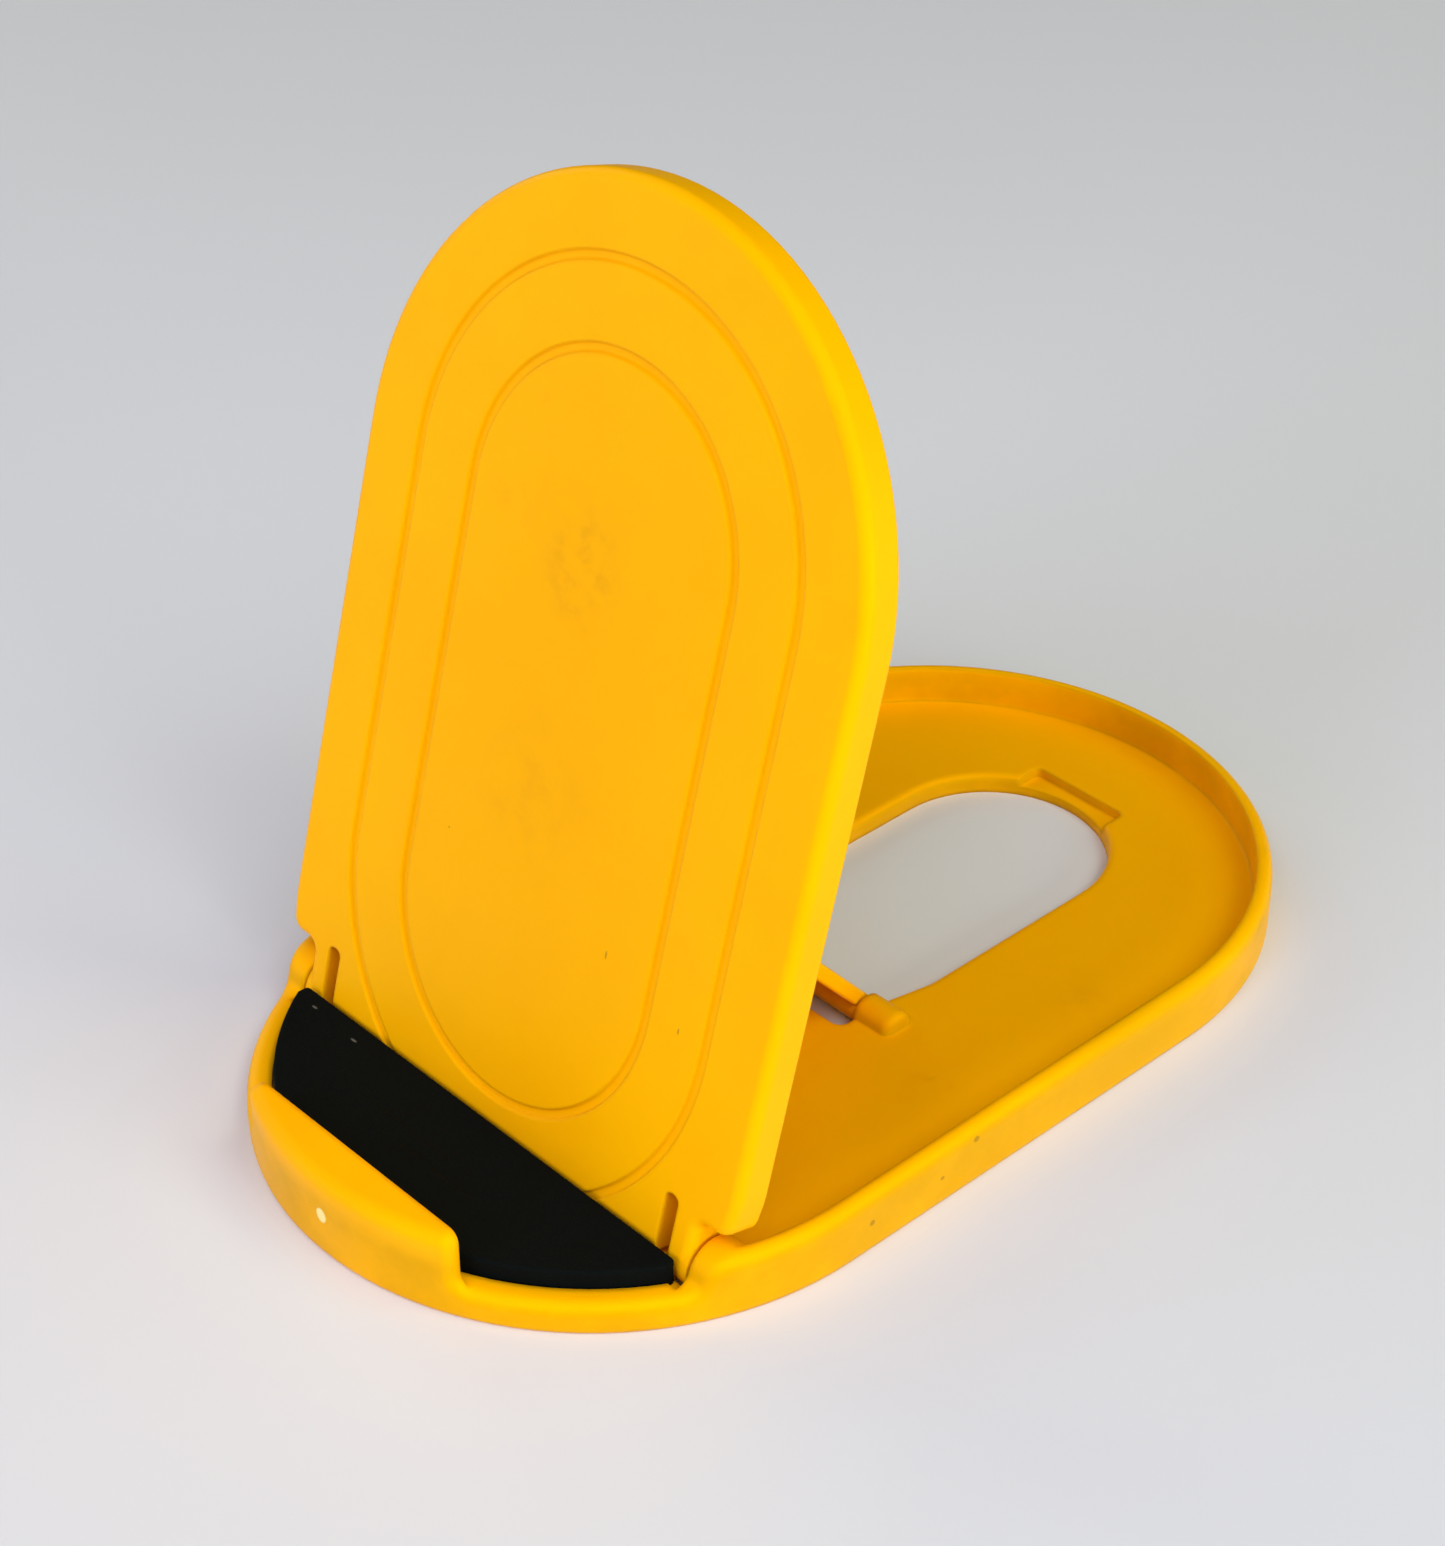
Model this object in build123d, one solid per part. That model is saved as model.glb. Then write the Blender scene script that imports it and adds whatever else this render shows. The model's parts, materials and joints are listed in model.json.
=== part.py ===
from build123d import *
import os
from math import asin, atan2, cos, degrees, hypot, radians, sin, sqrt

# Folding stand for a phone or a small tablet. Millimetres, +Z up, the device's lip at -Y.
# The origin is the middle of the tray's underside. The plate and the strut are drawn
# folded flat into the tray, and then raised about their hinge axes to the standing pose.

# --- tray ---
TRAY_WIDTH = 75.0
TRAY_LENGTH = 127.0
RIM_HEIGHT = 7.2
RIM_WALL = 1.8
FLOOR = 2.4
TRAY_RADIUS = TRAY_WIDTH / 2
END_Y = (TRAY_LENGTH - TRAY_WIDTH) / 2
CAVITY_RADIUS = TRAY_RADIUS - RIM_WALL
BAY_RADIUS = 34.8
BAY_END_Y = -43.8
EDGE_ROUND = 1.4
FOOT_ROUND = 0.6

# --- low front wall, and the lip that stops the device ---
LEDGE_HEIGHT = 3.6
LIP_HEIGHT = 10.0
LIP_CHORD_Y = -58.4
LIP_BLANK_Y = -50.0
LIP_HALF = 16.0
LIP_CORNER = 1.3
STEP_FOOT = 1.5

# --- plate hinge ---
HINGE_Y = -38.8
HINGE_Z = 3.8
KNUCKLE_RADIUS = RIM_HEIGHT - HINGE_Z
KNUCKLE_X = 30.9
KNUCKLE_ROUND = 0.3
TRUNNION_RADIUS = 1.5
TRUNNION_END_X = 33.2
SOCKET_END_X = 33.6
RUNNING_GAP = 0.05
SIDE_GAP = 0.3
WINDOW_INNER_X = 27.2

# --- plate, as it lies folded in the tray ---
LEAN_DEG = 74.8
PLATE_THICK = 4.3
PLATE_FRONT_Z = HINGE_Z + 3.25
PLATE_BACK_Z = PLATE_FRONT_Z - PLATE_THICK
PLATE_HALF = 35.05
PLATE_FOOT_Y = HINGE_Y + 5.4
TONGUE_HALF = KNUCKLE_X - SIDE_GAP
TONGUE_END_Y = HINGE_Y - 0.7
TONGUE_CORNER = 1.2
FOOT_CORNER = 1.8
FOOT_HALF = 34.5
TAPER_Y = -29.5
TAPER_BLEND = 12.0
PLATE_ROUND = 1.2
BACK_ROUND = 0.5
SLIT_X = 26.85
SLIT_WIDTH = 1.9
SLIT_TOP_Y = HINGE_Y + 6.6
OVAL_Y = HINGE_Y + 43.2
OVAL_SIZES = ((53.5, 97.0), (36.9, 79.7))
GROOVE_WIDTH = 1.2
GROOVE_FLOOR = 0.8
GROOVE_DEPTH = 0.4
POCKET_DEPTH = 2.4
POCKET_WALL = 2.0
POCKET_FOOT_Y = HINGE_Y + 10.5
RIB_X = 20.0
RIB_THICK = 1.4

# --- strut, as it lies folded in the tray's opening ---
PIVOT_Y = 1.9
PIVOT_Z = 2.0
BARREL_RADIUS = 1.6
STRUT_THICK = 1.8
STRUT_LENGTH = 46.0
STRUT_GAP = 0.4
STRUT_ROUND = 0.4
PIN_RADIUS = 1.0
PIN_END_X = 14.6
LUG_HOLE_END_X = 15.0
TIP_CLEARANCE = 0.12

# --- opening in the tray's floor, which stows the strut ---
OPENING_HALF = 13.35
OPENING_FAR_Y = PIVOT_Y + STRUT_LENGTH + STRUT_GAP
OPENING_NEAR_Y = -2.2
OPENING_CORNER = 1.2
NECK_HALF = 11.9
NECK_Y = 3.6
SHOULDER_Y = 10.5
SHOULDER_BLEND = 9.0
OPENING_ROUND = 0.8
NOTCH_HALF = 6.7
NOTCH_FAR_Y = OPENING_FAR_Y + 1.7
NOTCH_CORNER = 0.8
NOTCH_FLOOR_Z = 1.2

# --- strut lugs on the tray's floor ---
LUG_END_X = 17.0
LUG_RADIUS = 2.2
LUG_ROUND = 1.0

# --- rack of notches on the back of the plate ---
RACK_HALF = 6.5
RACK_START_Y = HINGE_Y + 15.0
RACK_END_Y = HINGE_Y + 37.4
NOTCH_PITCH = 6.0
NOTCH_WIDTH = 2.8
NOTCH_DEPTH = 1.4
NOTCH_COUNT = 3

# --- foam pad and its adhesive film ---
PAD_BACK_Y = HINGE_Y - 3.5
PAD_RADIUS = BAY_RADIUS - 0.3
PAD_HALF = 29.6
PAD_THICK = 3.0
PAD_CORNER = 0.6
PAD_LIP_GAP = 0.2
FILM_THICK = 0.2
FILM_INSET = 0.3

# Reach of the cutting blocks past the object.
FAR = 90.0

HINGE_AXIS = Axis((0, HINGE_Y, HINGE_Z), (1, 0, 0))
PIVOT_AXIS = Axis((0, PIVOT_Y, PIVOT_Z), (1, 0, 0))


def strut_geometry():
    """Lean of the raised strut, and how far up the plate its tip touches, from the hinge axis."""
    lean = radians(LEAN_DEG)
    behind = HINGE_Z - PLATE_BACK_Z + TIP_CLEARANCE
    reach_y = PIVOT_Y - HINGE_Y
    reach_z = PIVOT_Z - HINGE_Z
    # The tip stands "behind" off the hinge axis, square to the plate:
    # (reach_y - L cos a) sin(lean) - (reach_z + L sin a) cos(lean) = behind
    ratio = (reach_y * sin(lean) - reach_z * cos(lean) - behind) / STRUT_LENGTH
    angle = radians(180.0) - asin(ratio) - lean
    tip_y = reach_y - STRUT_LENGTH * cos(angle)
    tip_z = reach_z + STRUT_LENGTH * sin(angle)
    return degrees(angle), tip_y * cos(lean) + tip_z * sin(lean)


STRUT_LEAN_DEG, TIP_CONTACT = strut_geometry()
STRUT_TURN_DEG = 180.0 - STRUT_LEAN_DEG


def block(x0, x1, y0, y1, z0, z1):
    """A box between two corners."""
    centre = ((x0 + x1) / 2, (y0 + y1) / 2, (z0 + z1) / 2)
    return Pos(*centre) * Box(x1 - x0, y1 - y0, z1 - z0)


def both_sides(solid):
    """A solid and its mirror image in the plane X = 0."""
    return [solid, solid.mirror(Plane.YZ)]


def rod(axis_y, axis_z, radius, x0, x1):
    """A cylinder along X between two values of x."""
    return Pos((x0 + x1) / 2, axis_y, axis_z) * Rot(0, 90, 0) * Cylinder(radius, x1 - x0)


def stadium(width, length, z0, z1, centre_y=0.0):
    """A prism with semicircular ends, long in Y."""
    sketch = Pos(0, centre_y, z0) * SlotOverall(length, width, rotation=90)
    return extrude(sketch, z1 - z0)


def round_ended(*right):
    """A symmetrical face with a semicircular far end, from the points down its right side."""
    half, centre_y = right[0]
    left = [(-x, y) for x, y in reversed(right)]
    outline = Curve() + [Polyline(*right, *left), CenterArc((0, centre_y), half, 0, 180)]
    return make_face(outline)


def along_x(sketch, x0, x1):
    """Extrude a sketch, drawn in Y and Z, from x0 to x1."""
    return Pos(x0, 0, 0) * extrude(Plane.YZ * sketch, x1 - x0)


def round_corners(sketch, radius, *points):
    """Round the corners of a sketch that lie at the given points."""
    corners = []
    for point in points:
        corners.append(sketch.vertices().sort_by_distance((*point, 0))[0])
    return fillet(corners, radius)


def wall_radius(point):
    """Distance of a point from the tray's long axis, round its ends."""
    return hypot(point.X, max(abs(point.Y) - END_Y, 0.0))


def edges_where(solid, test):
    """The edges of a solid on which three points pass a test."""
    return [edge for edge in solid.edges() if all(test(edge @ t) for t in (0.1, 0.5, 0.9))]


# ---------------------------------------------------------------- tray

def rear_profile():
    """Side view of the tray: low wall in front, then a rounded step up to the rim."""
    foot_z = LEDGE_HEIGHT + STEP_FOOT
    reach = KNUCKLE_RADIUS + STEP_FOOT
    foot_y = HINGE_Y - sqrt(reach**2 - (foot_z - HINGE_Z) ** 2)
    turn = degrees(atan2(foot_z - HINGE_Z, HINGE_Y - foot_y))
    outline = Curve() + [
        CenterArc((foot_y, foot_z), STEP_FOOT, -90, 90 - turn),
        CenterArc((HINGE_Y, HINGE_Z), KNUCKLE_RADIUS, 90, 90 - turn),
        Polyline((HINGE_Y, RIM_HEIGHT), (FAR, RIM_HEIGHT), (FAR, 0)),
        Polyline((FAR, 0), (-FAR, 0), (-FAR, LEDGE_HEIGHT), (foot_y, LEDGE_HEIGHT)),
    ]
    return make_face(outline)


def lip_profile():
    """Front view of the lip: rounded top corners and flared feet on the low wall."""
    feet = [(LIP_HALF, LEDGE_HEIGHT), (-LIP_HALF, LEDGE_HEIGHT)]
    tops = [(LIP_HALF, LIP_HEIGHT), (-LIP_HALF, LIP_HEIGHT)]
    wall = [(-FAR, LEDGE_HEIGHT), (-FAR, 0), (FAR, 0), (FAR, LEDGE_HEIGHT)]
    sketch = Polygon(*wall, feet[0], *tops, feet[1], align=None)
    sketch = round_corners(sketch, LIP_CORNER, *tops)
    return round_corners(sketch, STEP_FOOT, *feet)


def opening_outline(inset, near_y):
    """Plan of the floor's opening, or of the strut that lies in it, drawn smaller by the inset."""
    half = OPENING_HALF - inset
    neck = NECK_HALF - inset
    shoulders = [(half, SHOULDER_Y), (neck, NECK_Y), (-neck, NECK_Y), (-half, SHOULDER_Y)]
    sketch = round_ended((half, OPENING_FAR_Y - OPENING_HALF), *shoulders[:2], (neck, near_y))
    return round_corners(sketch, SHOULDER_BLEND, *shoulders)


def floor_opening():
    """Cutter for the opening, and for the finger notch at its far end."""
    outline = opening_outline(0.0, OPENING_NEAR_Y)
    near = [(NECK_HALF, OPENING_NEAR_Y), (-NECK_HALF, OPENING_NEAR_Y)]
    hole = Pos(0, 0, -1) * extrude(round_corners(outline, OPENING_CORNER, *near), FLOOR + 2)
    notch = block(-NOTCH_HALF, NOTCH_HALF, NOTCH_FAR_Y - 8, NOTCH_FAR_Y, NOTCH_FLOOR_Z, FLOOR + 1)
    upright = notch.edges().filter_by(Axis.Z).group_by(Axis.Y)[-1]
    return hole, fillet(upright, NOTCH_CORNER)


def knuckle_keep():
    """What stays of the cavity's filling beside each hinge lug: the knuckle, round behind."""
    top = RIM_HEIGHT + LIP_HEIGHT
    rear_y = HINGE_Y + KNUCKLE_RADIUS
    front = [(HINGE_Y, HINGE_Z), (HINGE_Y, top), (-FAR, top)]
    outline = Polygon((-FAR, 0), (rear_y, 0), (rear_y, HINGE_Z), *front, align=None)
    outline += Pos(HINGE_Y, HINGE_Z) * Circle(KNUCKLE_RADIUS)
    return both_sides(along_x(outline, KNUCKLE_X, TRAY_WIDTH))


def strut_lugs():
    """Two lugs that carry the strut's pins, each with a rounded top and outer end."""
    profile = Pos(PIVOT_Y, PIVOT_Z) * Circle(LUG_RADIUS)
    profile += Pos(PIVOT_Y, PIVOT_Z / 2) * Rectangle(2 * LUG_RADIUS, PIVOT_Z)
    profile &= Pos(PIVOT_Y, LUG_RADIUS + PIVOT_Z) * Rectangle(4 * LUG_RADIUS, 2 * (LUG_RADIUS + PIVOT_Z))
    lug = along_x(profile, NECK_HALF, LUG_END_X)
    outer = [edge for edge in lug.faces().sort_by(Axis.X)[-1].edges() if edge.center().Z > 0.1]
    return both_sides(fillet(outer, LUG_ROUND))


def on_outer_top(point):
    """Whether a point is on the upper edge of the tray's outer wall."""
    return abs(wall_radius(point) - TRAY_RADIUS) < 0.01 and point.Z > 1.0


def on_outer_foot(point):
    """Whether a point is on the bottom edge of the tray's outer wall."""
    return abs(wall_radius(point) - TRAY_RADIUS) < 0.01 and point.Z < 0.01


def on_knuckle(point):
    """Whether a point is on the round edge of a knuckle's inner face."""
    from_axis = hypot(point.Y - HINGE_Y, point.Z - HINGE_Z)
    return abs(abs(point.X) - KNUCKLE_X) < 0.01 and abs(from_axis - KNUCKLE_RADIUS) < 0.01


def on_opening(point):
    """Whether a point is on the upper edge of the opening in the floor."""
    inside = abs(point.X) < OPENING_HALF + 0.1 and abs(point.Y) < OPENING_FAR_Y + 0.1
    return inside and abs(point.Z - FLOOR) < 0.01


def tray_cavity():
    """Cutter for the inside of the rim, narrower in the pad's bay in front of the hinge."""
    cavity = stadium(2 * CAVITY_RADIUS, TRAY_LENGTH - 2 * RIM_WALL, FLOOR, LIP_HEIGHT + 2)
    bay = stadium(2 * BAY_RADIUS, TRAY_LENGTH - TRAY_WIDTH + 2 * BAY_RADIUS, FLOOR, LIP_HEIGHT + 2)
    cavity -= block(-FAR, FAR, -FAR, BAY_END_Y, 0, FAR)
    cavity += bay & block(-FAR, FAR, LIP_CHORD_Y, BAY_END_Y, 0, FAR)
    for keep in knuckle_keep():
        cavity -= keep
    return cavity


def make_tray():
    """Tray: floor, rim, lip, hinge knuckles, strut lugs and the opening that stows the strut."""
    tray = stadium(TRAY_WIDTH, TRAY_LENGTH, 0, LIP_HEIGHT + 1)
    shape = along_x(rear_profile(), -FAR, FAR)
    shape += Pos(0, LIP_BLANK_Y, 0) * extrude(Plane.XZ * lip_profile(), FAR)
    tray &= shape
    tray = fillet(edges_where(tray, on_outer_top), EDGE_ROUND)
    tray = fillet(edges_where(tray, on_outer_foot), FOOT_ROUND)

    tray -= block(-PAD_HALF, PAD_HALF, LIP_CHORD_Y, LIP_BLANK_Y + 1, LEDGE_HEIGHT, FAR)
    tray -= tray_cavity()
    tray = fillet(edges_where(tray, on_knuckle), KNUCKLE_ROUND)

    hole, notch = floor_opening()
    tray -= hole
    tray = fillet(edges_where(tray, on_opening), OPENING_ROUND)
    tray -= notch
    for lug in strut_lugs():
        tray += lug
    tray -= rod(PIVOT_Y, PIVOT_Z, PIN_RADIUS + RUNNING_GAP, -LUG_HOLE_END_X, LUG_HOLE_END_X)
    socket = rod(HINGE_Y, HINGE_Z, TRUNNION_RADIUS + RUNNING_GAP, KNUCKLE_X - 1, SOCKET_END_X)
    for cutter in both_sides(socket):
        tray -= cutter
    for window in both_sides(block(WINDOW_INNER_X, KNUCKLE_X, HINGE_Y - 3.4, HINGE_Y + 3.4, -1, FLOOR + 1)):
        tray -= window
    return tray


# ---------------------------------------------------------------- plate

def plate_outline():
    """Plan of the folded plate: round far end, sides tucked in at the foot, and a hinge tongue."""
    taper = (PLATE_HALF, TAPER_Y)
    foot = (FOOT_HALF, PLATE_FOOT_Y)
    notch = (TONGUE_HALF, PLATE_FOOT_Y)
    sketch = round_ended((PLATE_HALF, END_Y), taper, foot, notch, (TONGUE_HALF, TONGUE_END_Y))
    for (x, y), radius in ((taper, TAPER_BLEND), (foot, FOOT_CORNER), (notch, TONGUE_CORNER)):
        sketch = round_corners(sketch, radius, (x, y), (-x, y))
    return sketch


def oval_grooves():
    """Cutters for the two fine oval grooves on the plate's front."""
    cutters = []
    for width, length in OVAL_SIZES:
        rings = []
        for side in (1, -1):
            levels = []
            for groove, z in ((GROOVE_WIDTH, PLATE_FRONT_Z), (GROOVE_FLOOR, PLATE_FRONT_Z - GROOVE_DEPTH)):
                grow = side * groove
                levels.append(Pos(0, OVAL_Y, z) * SlotOverall(length + grow, width + grow, rotation=90))
            rings.append(loft(levels))
        cutters.append(rings[0] - rings[1])
    return cutters


def rack():
    """Block with ramped notches across it, in which the strut's tip can stand."""
    ceiling = PLATE_BACK_Z + POCKET_DEPTH
    body = block(-RACK_HALF, RACK_HALF, RACK_START_Y, RACK_END_Y, PLATE_BACK_Z, ceiling + 0.5)
    for index in range(NOTCH_COUNT):
        top_y = HINGE_Y + TIP_CONTACT + NOTCH_WIDTH / 2 - index * NOTCH_PITCH
        low_y = top_y - NOTCH_WIDTH
        mouth = [(low_y, PLATE_BACK_Z), (top_y, PLATE_BACK_Z)]
        ramp = Polygon(*mouth, (top_y, PLATE_BACK_Z + NOTCH_DEPTH), align=None)
        body -= along_x(ramp, -RACK_HALF - 1, RACK_HALF + 1)
    return body


def plate_pocket():
    """Cutter that hollows the plate's back, leaving the side wall, two ribs and the rack."""
    half = PLATE_HALF - POCKET_WALL
    sketch = round_ended((half, END_Y), (half, POCKET_FOOT_Y))
    sketch = round_corners(sketch, FOOT_CORNER, (half, POCKET_FOOT_Y), (-half, POCKET_FOOT_Y))
    pocket = Pos(0, 0, PLATE_BACK_Z) * extrude(sketch, POCKET_DEPTH)
    for rib in both_sides(block(RIB_X - RIB_THICK / 2, RIB_X + RIB_THICK / 2, -FAR, FAR, 0, FAR)):
        pocket -= rib
    return pocket


def hinge_lugs():
    """Round-ended lugs outside the slits, each with a stub trunnion on its outer face."""
    inner = SLIT_X + SLIT_WIDTH / 2
    barrel = rod(HINGE_Y, HINGE_Z, PLATE_FRONT_Z - HINGE_Z, inner, TONGUE_HALF)
    trunnion = rod(HINGE_Y, HINGE_Z, TRUNNION_RADIUS, inner, TRUNNION_END_X)
    trunnion = chamfer(trunnion.faces().sort_by(Axis.X)[-1].edges(), 0.4)
    return both_sides(barrel + trunnion)


def make_plate():
    """Plate, raised to its lean."""
    plate = Pos(0, 0, PLATE_BACK_Z) * extrude(plate_outline(), PLATE_THICK)
    plate = fillet(plate.faces().sort_by(Axis.Z)[-1].edges(), PLATE_ROUND)
    plate = fillet(plate.faces().sort_by(Axis.Z)[0].edges(), BACK_ROUND)
    for cutter in oval_grooves():
        plate -= cutter
    plate -= plate_pocket()
    plate += rack()
    slit = block(SLIT_X - SLIT_WIDTH / 2, SLIT_X + SLIT_WIDTH / 2, -FAR, SLIT_TOP_Y, 0, FAR)
    slit = fillet(slit.edges().filter_by(Axis.Z).group_by(Axis.Y)[-1], 0.45 * SLIT_WIDTH)
    for cutter in both_sides(slit):
        plate -= cutter
    for lug in hinge_lugs():
        plate += lug
    return plate.rotate(HINGE_AXIS, LEAN_DEG)


# ---------------------------------------------------------------- strut, pad and film

def make_strut():
    """Strut with its barrel and pins, raised to lean on the plate's back."""
    low_z = PIVOT_Z - BARREL_RADIUS
    strut = Pos(0, 0, low_z) * extrude(opening_outline(STRUT_GAP, PIVOT_Y), STRUT_THICK)
    faces = strut.faces().sort_by(Axis.Z)
    strut = fillet(faces[0].edges() + faces[-1].edges(), STRUT_ROUND)
    neck = NECK_HALF - STRUT_GAP
    strut += rod(PIVOT_Y, PIVOT_Z, BARREL_RADIUS, -neck, neck)
    strut += rod(PIVOT_Y, PIVOT_Z, PIN_RADIUS, -PIN_END_X, PIN_END_X)
    return strut.rotate(PIVOT_AXIS, STRUT_TURN_DEG)


def pad_outline(inset=0.0):
    """Plan of the foam pad: an arc along the low wall, cut off at the lip and at the plate."""
    low_y = LIP_CHORD_Y + PAD_LIP_GAP + inset
    high_y = PAD_BACK_Y - inset
    half = PAD_HALF - inset
    strip = Pos(0, (low_y + high_y) / 2) * Rectangle(2 * half, high_y - low_y)
    sketch = strip & Pos(0, -END_Y) * Circle(PAD_RADIUS - inset)
    return round_corners(sketch, PAD_CORNER - inset, (half, high_y), (-half, high_y))


def make_pad():
    """Foam pad on which the device's edge stands."""
    return Pos(0, 0, FLOOR + FILM_THICK) * extrude(pad_outline(), PAD_THICK)


def make_film():
    """Adhesive film that holds the pad on the tray's floor."""
    return Pos(0, 0, FLOOR) * extrude(pad_outline(FILM_INSET), FILM_THICK)


os.makedirs("parts", exist_ok=True)
export_step(make_tray(), "parts/base_tray.step")
export_step(make_plate(), "parts/back_plate.step")
export_step(make_strut(), "parts/support_strut.step")
export_step(make_pad(), "parts/front_pad.step")
export_step(make_film(), "parts/pad_adhesive.step")
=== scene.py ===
import json
from math import cos, radians, sin, sqrt

import bmesh
import bpy
from mathutils import Matrix, Vector, noise


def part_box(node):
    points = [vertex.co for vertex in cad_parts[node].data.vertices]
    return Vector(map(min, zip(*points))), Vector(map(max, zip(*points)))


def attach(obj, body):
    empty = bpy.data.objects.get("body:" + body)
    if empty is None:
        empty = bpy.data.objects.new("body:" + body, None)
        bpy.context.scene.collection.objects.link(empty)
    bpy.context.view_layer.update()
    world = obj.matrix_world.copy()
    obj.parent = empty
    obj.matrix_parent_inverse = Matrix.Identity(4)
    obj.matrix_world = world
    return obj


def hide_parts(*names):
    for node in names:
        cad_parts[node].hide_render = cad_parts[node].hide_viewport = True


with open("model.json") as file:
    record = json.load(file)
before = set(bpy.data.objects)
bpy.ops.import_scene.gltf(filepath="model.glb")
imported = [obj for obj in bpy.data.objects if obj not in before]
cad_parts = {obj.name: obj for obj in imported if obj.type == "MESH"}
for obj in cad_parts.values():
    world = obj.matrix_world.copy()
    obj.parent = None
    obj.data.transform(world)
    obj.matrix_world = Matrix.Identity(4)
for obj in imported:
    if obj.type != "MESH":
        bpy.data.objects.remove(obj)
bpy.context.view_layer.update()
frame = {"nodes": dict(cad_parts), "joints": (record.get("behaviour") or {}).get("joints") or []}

MM = 0.001


def mm(*lengths):
    """Millimetres to metres, for a point or for the reach of a mark along X, Y and Z."""
    return tuple(length * MM for length in lengths)


def toward(azimuth, elevation):
    """Direction from the stand to something round it. Azimuth 0 is on the lip's side."""
    return Vector((sin(azimuth) * cos(elevation), -cos(azimuth) * cos(elevation), sin(elevation)))


# ---------------------------------------------------------------- camera

CAMERA_AZIMUTH = radians(46.97)
CAMERA_ELEVATION = radians(34.56)
CAMERA_ROLL = radians(-0.05)
CAMERA_DISTANCE = 364.82 * MM
CAMERA_PAN = mm(-6.58, 23.35)
CAMERA_SHIFT = (0.0023, 0.0003)
FOCAL_IN_FRAME_HEIGHTS = 2.1234
SENSOR = 36.0
CLIP_START = 0.01
CLIP_END = 20


def make_camera():
    """The camera, looking across the tray from its front right."""
    back = toward(CAMERA_AZIMUTH, CAMERA_ELEVATION)
    right = Vector((cos(CAMERA_AZIMUTH), sin(CAMERA_AZIMUTH), 0))
    up = back.cross(right)
    roll = Matrix.Rotation(CAMERA_ROLL, 3, back)
    right, up = roll @ right, roll @ up
    data = bpy.data.cameras.new("camera")
    data.sensor_fit = "AUTO"
    data.sensor_width = SENSOR
    data.lens = FOCAL_IN_FRAME_HEIGHTS * SENSOR
    data.shift_x, data.shift_y = CAMERA_SHIFT
    data.clip_start = CLIP_START
    data.clip_end = CLIP_END
    camera = bpy.data.objects.new("camera", data)
    bpy.context.scene.collection.objects.link(camera)
    place = back * CAMERA_DISTANCE + right * CAMERA_PAN[0] + up * CAMERA_PAN[1]
    turn = Matrix((right, up, back)).transposed().to_4x4()
    camera.matrix_world = Matrix.Translation(place) @ turn
    bpy.context.scene.camera = camera


# ---------------------------------------------------------------- node helpers

BEVEL_SAMPLES = 6


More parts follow.
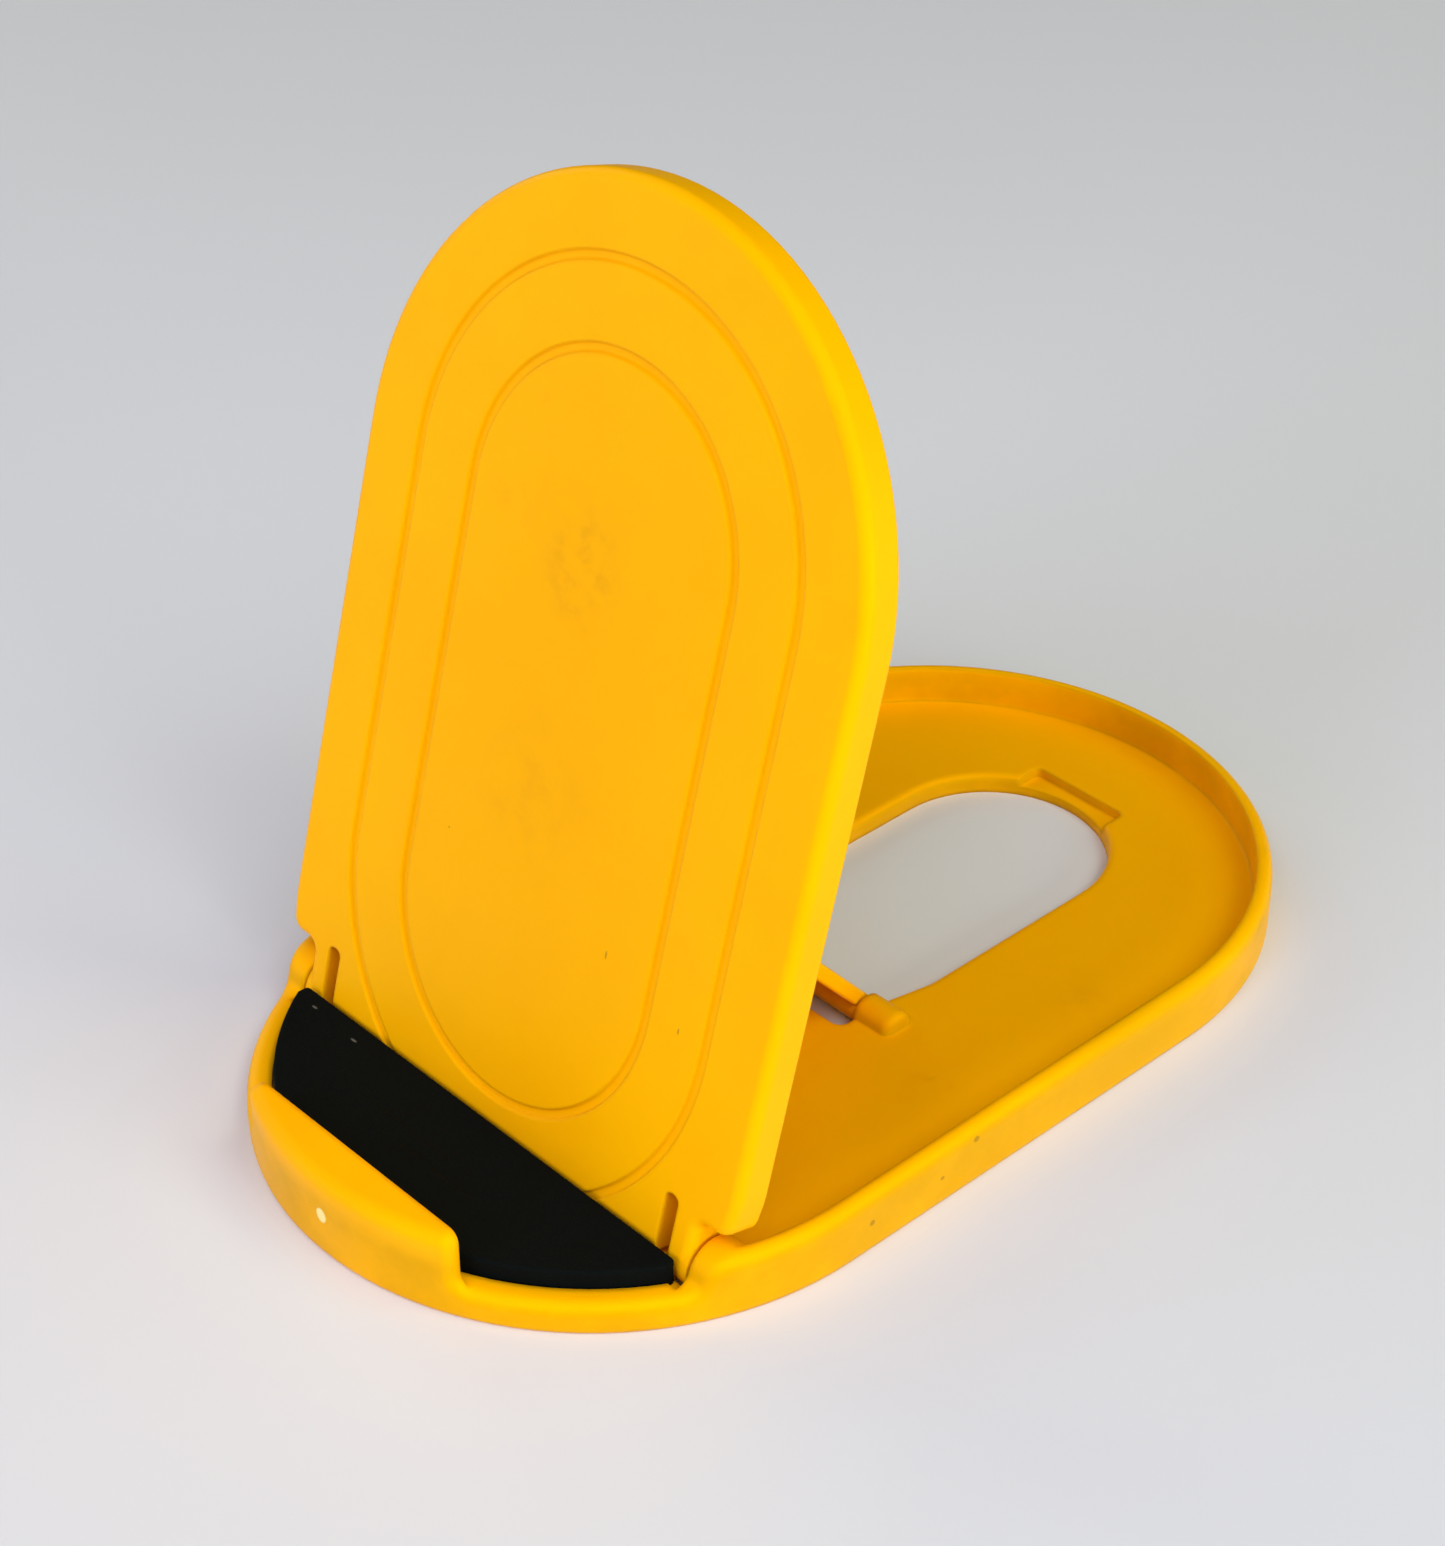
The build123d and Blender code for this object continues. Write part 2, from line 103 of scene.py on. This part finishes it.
class Graph:
    """A material's node tree, with short calls for the nodes used here."""

    def __init__(self, name):
        self.material = bpy.data.materials.new(name)
        self.material.use_nodes = True
        self.tree = self.material.node_tree
        self.tree.nodes.clear()
        self.shader = self.tree.nodes.new("ShaderNodeBsdfPrincipled")
        output = self.tree.nodes.new("ShaderNodeOutputMaterial")
        self.link(self.shader.outputs[0], output.inputs["Surface"])
        coordinates = self.tree.nodes.new("ShaderNodeTexCoord")
        self.place = coordinates.outputs["Object"]
        self.facing = coordinates.outputs["Normal"]

    def link(self, source, target):
        self.tree.links.new(source, target)

    def set(self, socket, value):
        """Give a socket a number, a colour or another node's output."""
        if isinstance(value, bpy.types.NodeSocket):
            self.link(value, socket)
        else:
            socket.default_value = value

    def shade(self, **values):
        """Set the shader's sockets, named with underscores for spaces."""
        for name, value in values.items():
            self.set(self.shader.inputs[name.replace("_", " ")], value)

    def math(self, operation, *values):
        node = self.tree.nodes.new("ShaderNodeMath")
        node.operation = operation
        for socket, value in zip(node.inputs, values):
            self.set(socket, value)
        return node.outputs[0]

    def times(self, product, *values):
        """The product of several values."""
        for value in values:
            product = self.math("MULTIPLY", product, value)
        return product

    def z_of(self, vector):
        """The Z part of a vector."""
        node = self.tree.nodes.new("ShaderNodeSeparateXYZ")
        self.link(vector, node.inputs[0])
        return node.outputs["Z"]

    def ramp(self, value, low, high, out_low=0.0, out_high=1.0):
        """Map a value smoothly from one range to another."""
        node = self.tree.nodes.new("ShaderNodeMapRange")
        node.interpolation_type = "SMOOTHSTEP"
        for socket, number in zip(node.inputs, (value, low, high, out_low, out_high)):
            self.set(socket, number)
        return node.outputs[0]

    def mix(self, factor, first, second):
        """Mix two colours."""
        node = self.tree.nodes.new("ShaderNodeMix")
        node.data_type = "RGBA"
        self.set(node.inputs[0], factor)
        self.set(node.inputs[6], first)
        self.set(node.inputs[7], second)
        return node.outputs[2]

    def noise(self, size, detail=2.0, roughness=0.5, offset=(0, 0, 0)):
        """Noise from 0 to 1, with features of about the given size in metres."""
        moved = self.tree.nodes.new("ShaderNodeMapping")
        self.link(self.place, moved.inputs["Vector"])
        moved.inputs["Location"].default_value = offset
        node = self.tree.nodes.new("ShaderNodeTexNoise")
        self.link(moved.outputs[0], node.inputs["Vector"])
        node.inputs["Scale"].default_value = 1 / size
        node.inputs["Detail"].default_value = detail
        node.inputs["Roughness"].default_value = roughness
        return node.outputs["Fac"]

    def cells(self, size):
        """Voronoi cells: distance to the nearest cell's centre in cell sizes, and its random colour."""
        node = self.tree.nodes.new("ShaderNodeTexVoronoi")
        self.link(self.place, node.inputs["Vector"])
        node.inputs["Scale"].default_value = 1 / size
        return node.outputs["Distance"], node.outputs["Color"]

    def specks(self, spacing, share, core, rim, ragged=0.0):
        """Specks in a share of the cells, solid at the core radius and gone at the rim's, in cell sizes."""
        distance, draw = self.cells(spacing)
        if ragged:
            distance = self.math("ADD", distance, self.times(self.noise(0.3 * MM), ragged))
        return self.times(self.ramp(distance, core, rim, 1, 0), self.math("LESS_THAN", draw, share))

    def near(self, centre, reach):
        """1 at a point, falling to 0 at the reach, which may differ along X, Y and Z."""
        shift = self.tree.nodes.new("ShaderNodeVectorMath")
        shift.operation = "SUBTRACT"
        self.link(self.place, shift.inputs[0])
        shift.inputs[1].default_value = centre
        scale = self.tree.nodes.new("ShaderNodeVectorMath")
        scale.operation = "DIVIDE"
        self.link(shift.outputs[0], scale.inputs[0])
        scale.inputs[1].default_value = reach
        length = self.tree.nodes.new("ShaderNodeVectorMath")
        length.operation = "LENGTH"
        self.link(scale.outputs[0], length.inputs[0])
        return self.ramp(length.outputs["Value"], 0.0, 1.0, 1.0, 0.0)

    def spot(self, centre, reach, low=0.2, high=0.6):
        """Like near, but a small mark with a flat middle and a narrow soft edge."""
        return self.ramp(self.near(centre, reach), low, high)

    def bump(self, height, distance, normal=None):
        node = self.tree.nodes.new("ShaderNodeBump")
        node.inputs["Distance"].default_value = distance
        self.link(height, node.inputs["Height"])
        if normal is not None:
            self.link(normal, node.inputs["Normal"])
        return node.outputs[0]

    def bevel(self, radius):
        node = self.tree.nodes.new("ShaderNodeBevel")
        node.samples = BEVEL_SAMPLES
        node.inputs["Radius"].default_value = radius
        return node.outputs[0]


# ---------------------------------------------------------------- materials

GOLD = (0.96, 0.452, 0.0, 1)
GOLD_DEEP = (0.94, 0.430, 0.0, 1)
# darker gold for painted shade
GOLD_PAINTED_SHADE = (0.90, 0.398, 0.0, 1)
GOLD_STAINED = (0.66, 0.33, 0.0, 1)
# darker gold for painted shade low on the walls
PAINTED_WALL_SHADE = (0.72, 0.345, 0.0, 1)
SMUDGE = (0.50, 0.21, 0.01, 1)
SPECK = (0.10, 0.055, 0.02, 1)
# pale scuff colour, which also stands for a painted sheen
SCUFF_AND_SHEEN = (0.72, 0.44, 0.14, 1)
NICK = (0.93, 0.76, 0.28, 1)
GOLD_GLOSS = (1.0, 0.80, 0.04, 1)
GOLD_SCATTER = (1.0, 0.55, 0.08)

FOAM_DARK = (0.0013, 0.0026, 0.0024, 1)
FOAM_PALE = (0.0022, 0.0036, 0.0032, 1)
LINT = (0.32, 0.31, 0.26, 1)

FILM_MILKY = (0.66, 0.64, 0.56, 1)
FILM_WHITE = (0.78, 0.77, 0.72, 1)

TABLE_DARK = (0.72, 0.725, 0.745, 1)
TABLE_PALE = (0.745, 0.75, 0.77, 1)

# painted shade on upright walls: full below the first height, gone above the second
WALL_SHADE_FULL_BELOW = 5.5 * MM
WALL_SHADE_GONE_ABOVE = 9.0 * MM
SPECK_STRENGTH = 0.7
TICK_STRENGTH = 0.45
DUST_STRENGTH = 0.35
LINT_STRENGTH = 0.3


def painted_wall_shade(g):
    """Mask of painted shade low on upright walls, in soft patches."""
    upright = g.ramp(g.math("ABSOLUTE", g.z_of(g.facing)), 0.3, 0.8, 1, 0)
    low = g.ramp(g.z_of(g.place), WALL_SHADE_FULL_BELOW, WALL_SHADE_GONE_ABOVE, 1, 0)
    patch = g.ramp(g.noise(13 * MM, 4, 0.6), 0.3, 0.65, 0.35, 1)
    return g.times(upright, low, patch)


def shell_plastic(name, edge_softness, wall_shaded=False, shade_and_stain_patches=(), smudges=(), scuffs_and_sheen=(), ticks=(), nicks=()):
    """Moulded golden plastic. A mark has a centre and a reach in metres, and some a strength and a tint."""
    g = Graph(name)
    cloud = g.ramp(g.noise(14 * MM, 3, 0.55), 0.35, 0.7)
    colour = g.mix(cloud, GOLD, GOLD_DEEP)
    # broad darker patches: painted shade over the plate's middle and the tray's floor; the same loop also lays
    # a real stain
    for centre, reach, strength, tint in shade_and_stain_patches:
        colour = g.mix(g.times(g.near(centre, reach), strength), colour, tint)
    # painted shade low on the upright walls, in soft patches
    if wall_shaded:
        colour = g.mix(painted_wall_shade(g), colour, PAINTED_WALL_SHADE)
    for centre, reach, strength in smudges:
        blotch = g.ramp(g.noise(3.6 * MM, 5, 0.62, offset=centre), 0.40, 0.72)
        colour = g.mix(g.times(g.near(centre, reach), blotch, strength), colour, SMUDGE)
    # scuffs: real wear, with a painted pale sheen in their colour
    for centre, reach, strength in scuffs_and_sheen:
        scuff_and_sheen_streak = g.ramp(g.noise(1.6 * MM, 4, 0.75, offset=centre), 0.5, 0.66)
        colour = g.mix(g.times(g.near(centre, reach), scuff_and_sheen_streak, strength), colour, SCUFF_AND_SHEEN)
    specks = g.specks(7 * MM, share=0.12, core=0.018, rim=0.03, ragged=0.02)
    colour = g.mix(g.times(specks, SPECK_STRENGTH), colour, SPECK)
    for centre, reach in ticks:
        colour = g.mix(g.times(g.spot(centre, reach), TICK_STRENGTH), colour, SPECK)
    for centre, reach in nicks:
        colour = g.mix(g.spot(centre, reach, 0.25, 0.5), colour, NICK)

    soft_edges = g.bevel(edge_softness)
    waves = g.bump(g.noise(11 * MM, 1), 0.03 * MM, soft_edges)
    texture = g.bump(g.noise(0.22 * MM, 3, 0.6), 0.0035 * MM, waves)
    g.shade(
        Base_Color=colour,
        Roughness=g.ramp(g.noise(9 * MM, 4, 0.6), 0.3, 0.75, 0.38, 0.47),
        IOR=1.49,
        Specular_IOR_Level=0.10,
        Specular_Tint=GOLD_GLOSS,
        Subsurface_Weight=0.12,
        Subsurface_Radius=GOLD_SCATTER,
        Subsurface_Scale=0.9 * MM,
        Normal=texture,
    )
    return g.material


def foam(lint):
    """Black closed-cell foam, with a fine open grain, pale dust and the fibres given."""
    g = Graph("foam")
    cloud = g.ramp(g.noise(6 * MM, 4, 0.6), 0.35, 0.7)
    colour = g.mix(cloud, FOAM_DARK, FOAM_PALE)
    dust = g.specks(1.5 * MM, share=0.06, core=0.04, rim=0.09)
    colour = g.mix(g.times(dust, DUST_STRENGTH), colour, LINT)
    for centre, reach in lint:
        colour = g.mix(g.times(g.spot(centre, reach), LINT_STRENGTH), colour, LINT)

    pores, _ = g.cells(0.28 * MM)
    grain = g.bump(pores, 0.03 * MM)
    g.shade(
        Base_Color=colour,
        Roughness=g.ramp(cloud, 0, 1, 0.82, 0.92),
        Specular_IOR_Level=0.06,
        Normal=g.bump(g.noise(0.9 * MM, 3, 0.6), 0.05 * MM, grain),
    )
    return g.material


def adhesive():
    """Milky double-sided film, with air trapped in it."""
    g = Graph("adhesive")
    cloud = g.ramp(g.noise(2.5 * MM, 4, 0.65), 0.35, 0.7)
    g.shade(
        Base_Color=g.mix(cloud, FILM_MILKY, FILM_WHITE),
        Roughness=g.ramp(cloud, 0, 1, 0.35, 0.6),
        Normal=g.bump(g.noise(1.2 * MM), 0.02 * MM),
    )
    return g.material


def table_top():
    """Plain pale surface."""
    g = Graph("table_top")
    cloud = g.noise(120 * MM, 3)
    g.shade(Base_Color=g.mix(cloud, TABLE_DARK, TABLE_PALE), Roughness=0.55, Specular_IOR_Level=0.3)
    return g.material


# ---------------------------------------------------------------- foam pad

PAD_RADIUS = 34.5 * MM
PAD_CENTRE_Y = -26.0 * MM
PAD_CORNER = 0.6 * MM
LEAST_CORNER = 0.12 * MM

# every ring of the pad has these steps, so that neighbouring rings join point to point
ARC_STEPS = 60
SIDE_STEPS = 4
CORNER_STEPS = 6
BACK_STEPS = 100
FRONT_STEPS = 60

# the section of the pad's edge: how far it pulls in, in mm, and how high, as a share of the thickness
EDGE_SECTION = (
    (0.30, 0.0), (0.10, 0.02), (0.02, 0.10), (0.06, 0.3), (0.10, 0.5), (0.07, 0.7),
    (0.02, 0.86), (0.03, 0.91), (0.08, 0.955), (0.17, 0.985), (0.30, 1.0),
)
TOP_RINGS = 15
TOP_RING_STEP = 0.45

EDGE_ROUNDING_FROM = 0.8
TOP_FROM = 0.99
TOP_SINK = 0.012
ROUNDING_UNEVENNESS = 0.3


def spaced(first, last, steps):
    """Evenly spaced values from the first to the last."""
    return [first + (last - first) * i / steps for i in range(steps + 1)]


def pad_ring(low_y, high_y, half, inset):
    """Plan of the pad, drawn smaller by the inset, as points with rounded back corners."""
    front_y, back_y = low_y + inset, high_y - inset
    radius, half = PAD_RADIUS - inset, half - inset
    corner = max(PAD_CORNER - inset, LEAST_CORNER)
    corner_y = back_y - corner

    def arc_x(y):
        return sqrt(max(radius * radius - (y - PAD_CENTRE_Y) ** 2, 0))

    side_y = PAD_CENTRE_Y - sqrt(max(radius * radius - half * half, 0))
    if side_y < corner_y:
        right = [(arc_x(y), y) for y in spaced(front_y, side_y, ARC_STEPS)]
        right += [(half, y) for y in spaced(side_y, corner_y, SIDE_STEPS)[1:]]
    else:
        right = [(arc_x(y), y) for y in spaced(front_y, corner_y, ARC_STEPS + SIDE_STEPS)]
    front_half = right[0][0]
    back_half = right[-1][0] - corner
    for i in range(1, CORNER_STEPS + 1):
        angle = radians(90 * i / CORNER_STEPS)
        right.append((back_half + corner * cos(angle), corner_y + corner * sin(angle)))
    back = [(x, back_y) for x in spaced(back_half, -back_half, BACK_STEPS)[1:-1]]
    left = [(-x, y) for x, y in reversed(right)]
    front = [(x, front_y) for x in spaced(-front_half, front_half, FRONT_STEPS)[1:-1]]
    return right + back + left + front


def unevenness(x, y):
    """How far the foam's top stands above flat at a point, in metres: slow waves and a fine ripple."""
    wave = noise.noise(Vector((x, y, 3.0)) / (7 * MM)) * 0.03
    ripple = noise.noise(Vector((x, y, 9.0)) / (1.1 * MM)) * 0.012
    return (wave + ripple) * MM


def pad_mesh(low, high):
    """Rings up the die-cut sides, over the rounded top edge and across a top that isn't quite flat."""
    thick = high.z - low.z
    section = list(EDGE_SECTION)
    section += [(EDGE_SECTION[-1][0] + TOP_RING_STEP * i, 1.0) for i in range(1, TOP_RINGS + 1)]

    bm = bmesh.new()
    rings = []
    for inset, level in section:
        ring = []
        for x, y in pad_ring(low.y, high.y, high.x, inset * MM):
            z = low.z + thick * level
            if level > EDGE_ROUNDING_FROM:
                z -= thick * TOP_SINK
                z += unevenness(x, y) * (1 if level > TOP_FROM else ROUNDING_UNEVENNESS)
            ring.append(bm.verts.new((x, y, z)))
        rings.append(ring)
    count = len(rings[0])
    for lower, upper in zip(rings, rings[1:]):
        for i in range(count):
            j = (i + 1) % count
            bm.faces.new((lower[i], lower[j], upper[j], upper[i]))
    bm.faces.new(list(reversed(rings[0])))
    bmesh.ops.triangle_fill(bm, use_beauty=True, edges=[e for e in bm.edges if e.is_boundary])
    bmesh.ops.recalc_face_normals(bm, faces=bm.faces)
    mesh = bpy.data.meshes.new("foam_pad")
    bm.to_mesh(mesh)
    bm.free()
    for polygon in mesh.polygons:
        polygon.use_smooth = True
    return mesh


def make_pad():
    """The foam pad in place of its plain solid, with two fibres of lint near its back edge."""
    low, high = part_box("front_pad")
    mesh = pad_mesh(low, high)
    lint = [
        ((-18.7 * MM, -44.5 * MM, high.z), mm(0.8, 0.25, 0.5)),
        ((-26.0 * MM, -44.1 * MM, high.z), mm(0.7, 0.25, 0.5)),
    ]
    mesh.materials.append(foam(lint))
    pad = bpy.data.objects.new("foam_pad", mesh)
    bpy.context.scene.collection.objects.link(pad)
    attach(pad, "base")
    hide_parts("front_pad")


# ---------------------------------------------------------------- shell pieces

# in mm: the plate's face in front of its hinge axis, and the tray's right wall and floor
PLATE_FRONT = 3.25
TRAY_SIDE = 37.5
TRAY_FLOOR = 2.4

plate_hinge = next(joint for joint in frame["joints"] if joint["name"] == "plate_hinge")


def assign(node, material):
    """Give a CAD node its material."""
    node.data.materials.clear()
    node.data.materials.append(material)


def plate_point(x, up):
    """Point on the front of the raised plate, x from its middle and up from its hinge axis, in mm."""
    _, hinge_y, hinge_z = plate_hinge["pos_m"]
    folded, _ = plate_hinge["range_deg"]
    lean = radians(-folded)
    back_y, up_z = mm(up * cos(lean) - PLATE_FRONT * sin(lean), up * sin(lean) + PLATE_FRONT * cos(lean))
    return (x * MM, hinge_y + back_y, hinge_z + up_z)


def plate_marks():
    """A face with painted shade over its middle, rubs along its middle and two fibres lower down."""
    return {
        # painted shade over the plate's middle, leaving its margins lighter
        "shade_and_stain_patches": [(plate_point(0, 46), mm(33, 60, 60), 0.75, GOLD_PAINTED_SHADE)],
        "smudges": [
            (plate_point(-1.2, 61.9), mm(8, 10, 10), 0.34),
            (plate_point(-12.3, 74.1), mm(7, 7, 7), 0.18),
            (plate_point(-11.4, 66.1), mm(8, 8, 8), 0.14),
            (plate_point(-2.0, 36.5), mm(16, 16, 12), 0.12),
        ],
        "ticks": [
            (plate_point(11.9, 25.6), mm(0.22, 0.8, 0.8)),
            (plate_point(23.1, 22.9), mm(0.2, 0.6, 0.6)),
        ],
    }


def tray_marks():
    """A floor under painted shade with two rubs, a stain and three fibres on the right wall, painted shade low
    on the walls, and a scuffed and chipped lip whose scuffs carry a painted sheen.
    """
    return {
        # painted shade low on the walls
        "wall_shaded": True,
        "shade_and_stain_patches": [
            # painted shade over the tray's floor
            (mm(0, 18, TRAY_FLOOR), mm(60, 75, 4), 0.75, GOLD_PAINTED_SHADE),
            (mm(TRAY_SIDE, 17, 3.5), mm(5, 20, 8), 0.9, GOLD_STAINED),
        ],
        "smudges": [
            (mm(25.9, -2.1, TRAY_FLOOR), mm(4, 4, 4), 0.30),
            (mm(26.4, 19.6, TRAY_FLOOR), mm(5, 5, 5), 0.15),
        ],
        # scuffs on the lip's left end, with a painted pale sheen
        "scuffs_and_sheen": [(mm(-14.5, -60.6, 2), mm(10, 4, 4), 0.6)],
        "ticks": [
            (mm(TRAY_SIDE, -8.1, 5.8), mm(0.5, 0.7, 0.6)),
            (mm(TRAY_SIDE, -13.0, 3.5), mm(0.4, 0.5, 0.4)),
            (mm(TRAY_SIDE, -23.1, 3.7), mm(0.4, 0.6, 0.6)),
        ],
        "nicks": [(mm(0.45, -63.4, 5.2), mm(1.25, 1.2, 1.5))],
    }


def dress_shell():
    """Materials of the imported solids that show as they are."""
    nodes = frame["nodes"]
    assign(nodes["back_plate"], shell_plastic("plate_plastic", 0.5 * MM, **plate_marks()))
    assign(nodes["base_tray"], shell_plastic("tray_plastic", 1.0 * MM, **tray_marks()))
    assign(nodes["support_strut"], shell_plastic("strut_plastic", 0.2 * MM))
    assign(nodes["pad_adhesive"], adhesive())


# ---------------------------------------------------------------- table and light

TABLE_SIZE = 2.6
TABLE_DROP = 0.02 * MM

# name, azimuth and elevation in degrees, power in watts, colour
LIGHTS = (
    ("front_low", 0, 20, 7.9, (1.01, 0.99, 1.30)),
    ("front_right", 22.5, 50, 6.1, (0.98, 1.00, 1.26)),
    ("right_high", 67.5, 50, 7.7, (1.02, 1.00, 1.02)),
    ("right_level", 90, 8, 15.0, (0.93, 1.00, 0.92)),
    ("right_rear", 112.5, 50, 6.4, (0.97, 1.00, 0.75)),
    ("rear_level", 135, 8, 2.2, (0.97, 1.00, 0.80)),
    ("left_low", 270, 20, 4.8, (1.02, 1.02, 0.72)),
    ("left_front", 315, 8, 4.2, (1.00, 1.02, 1.25)),
)
BACKDROP = (0.70, 0.71, 0.73, 1)
LIGHT_DISTANCE = 1.5
LIGHT_SIZE = 0.8
LIGHT_AIM = Vector((0, 0, 0.03))


def make_table():
    """The table, a hair below the tray so that the two faces don't coincide."""
    bpy.ops.mesh.primitive_plane_add(size=TABLE_SIZE)
    table = bpy.context.object
    table.name = "table"
    table.location.z = -TABLE_DROP
    table.data.materials.append(table_top())


def make_light(name, azimuth, elevation, power, colour):
    """A soft square panel, seen from the stand at the given azimuth and elevation."""
    data = bpy.data.lights.new(name, "AREA")
    data.shape = "SQUARE"
    data.size = LIGHT_SIZE
    data.energy = power
    data.color = colour
    light = bpy.data.objects.new(name, data)
    bpy.context.scene.collection.objects.link(light)
    direction = toward(radians(azimuth), radians(elevation))
    light.location = LIGHT_AIM + direction * LIGHT_DISTANCE
    light.rotation_euler = (-direction).to_track_quat("-Z", "Y").to_euler()


def make_backdrop():
    """A pale world that only the camera sees, so that it lights nothing."""
    world = bpy.data.worlds.new("studio")
    world.use_nodes = True
    nodes = world.node_tree.nodes
    backdrop = nodes["Background"]
    backdrop.inputs["Color"].default_value = BACKDROP
    seen = nodes.new("ShaderNodeLightPath").outputs["Is Camera Ray"]
    world.node_tree.links.new(seen, backdrop.inputs["Strength"])
    bpy.context.scene.world = world


make_camera()
make_table()
for light in LIGHTS:
    make_light(*light)
make_backdrop()
bpy.context.scene.view_settings.view_transform = "Standard"
dress_shell()
make_pad()
